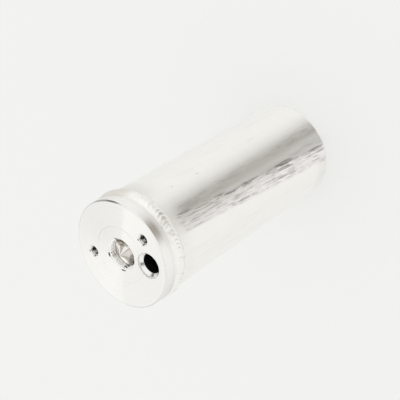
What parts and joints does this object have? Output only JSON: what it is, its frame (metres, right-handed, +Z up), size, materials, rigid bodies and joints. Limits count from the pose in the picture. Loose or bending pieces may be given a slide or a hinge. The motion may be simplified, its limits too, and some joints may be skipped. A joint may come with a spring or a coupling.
{
  "type": "receiver drier",
  "caption": "Round welded aluminium receiver drier with a ported head, for a refrigerant circuit, with its pick-up tube, strainer and sprung desiccant bed inside.",
  "frame": {"origin": "centre of the can's closed end, which it stands on", "axes": "+Z up the can's axis to the head's face, +X from the axis towards the inlet port"},
  "size_m": [0.0636, 0.0636, 0.152],
  "materials": {
    "can_metal": "bare drawn aluminium, satin, with fine streaks along the can",
    "head_metal": "turned and milled bare aluminium, bright satin",
    "weld_metal": "rippled aluminium weld, bright",
    "tube_metal": "drawn aluminium tube, satin",
    "plate_steel": "zinc-plated pressed steel",
    "screen_steel": "woven steel wire",
    "spring_steel": "oiled spring wire",
    "pad_felt": "pressed felt",
    "desiccant": "packed molecular sieve beads, dry and matt",
    "strainer_plastic": "natural nylon"
  },
  "bodies": {
    "root": {"canister": "can_metal", "head": "head_metal", "weld_bead": "weld_metal", "pickup_tube": "tube_metal", "strainer_frame": "strainer_plastic", "strainer_gauze": "screen_steel", "lower_plate": "plate_steel", "lower_screen": "screen_steel", "lower_pad": "pad_felt", "desiccant_bed": "desiccant", "upper_pad": "pad_felt", "upper_screen": "screen_steel", "upper_plate": "plate_steel", "spring": "spring_steel"}
  },
  "joints": []
}
